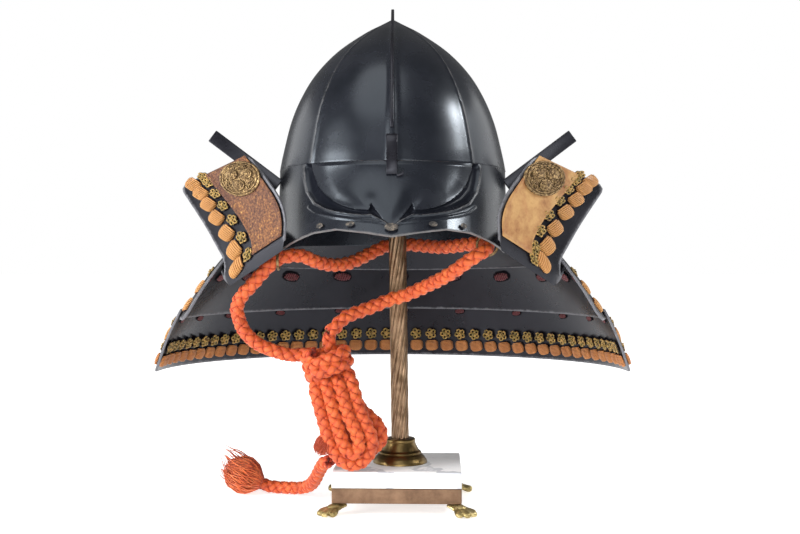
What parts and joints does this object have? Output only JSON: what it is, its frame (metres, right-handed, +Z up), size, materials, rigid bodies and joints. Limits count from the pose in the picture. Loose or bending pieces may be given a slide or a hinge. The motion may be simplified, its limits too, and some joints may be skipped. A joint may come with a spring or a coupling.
{
  "type": "samurai helmet on a display stand",
  "caption": "Black-lacquered samurai helmet with turned-back cheeks, flaring neck guard and orange chin cord, standing on a column with a marble base.",
  "frame": {"origin": "on the table under the middle of everything but the cord", "axes": "+Z up, -Y is the helmet's front, X across it"},
  "size_m": [0.456, 0.345, 0.4755],
  "materials": {
    "lacquer": "black lacquer, glossy, lightly worn",
    "leather": "aged, mottled brown and gold",
    "gilt": "tarnished gilt",
    "worn_brass": "aged brass",
    "base_bronze": "brown patina",
    "column_bronze": "satin, fluted",
    "marble": "polished white with grey veins",
    "orange_cord": "braided silk",
    "lacing": "flat silk braid",
    "boss_braid": "gold and green twisted thread"
  },
  "bodies": {
    "root": {"bowl": "lacquer", "brow_and_waist_plate": "lacquer", "crest_plate": "lacquer", "front_crest_holder": "lacquer", "brow_rivet_1": "worn_brass", "brow_rivet_2": "worn_brass", "brow_rivet_3": "worn_brass", "brow_rivet_4": "worn_brass", "brow_rivet_5": "worn_brass", "side_crest_tongue_left": "lacquer", "side_crest_tongue_right": "lacquer", "neck_lame_top": "lacquer", "neck_lame_middle": "lacquer", "neck_lame_bottom": "lacquer", "turn_back_leather_left": "leather", "turn_back_leather_right": "leather", "turn_back_disc_left": "gilt", "turn_back_disc_right": "gilt", "marble_slab": "marble", "brass_base_frame": "base_bronze", "base_foot_1": "worn_brass", "base_foot_2": "worn_brass", "base_foot_3": "worn_brass", "base_foot_4": "worn_brass", "column_flange": "worn_brass", "stand_column": "column_bronze", "support_cap": "column_bronze", "cord_ring_left": "gilt", "cord_ring_right": "gilt", "cord_loop": "orange_cord", "cord_tail": "orange_cord", "cord_hank": "orange_cord", "cord_tassel": "orange_cord", "cord_tuft": "orange_cord"}
  },
  "joints": []
}
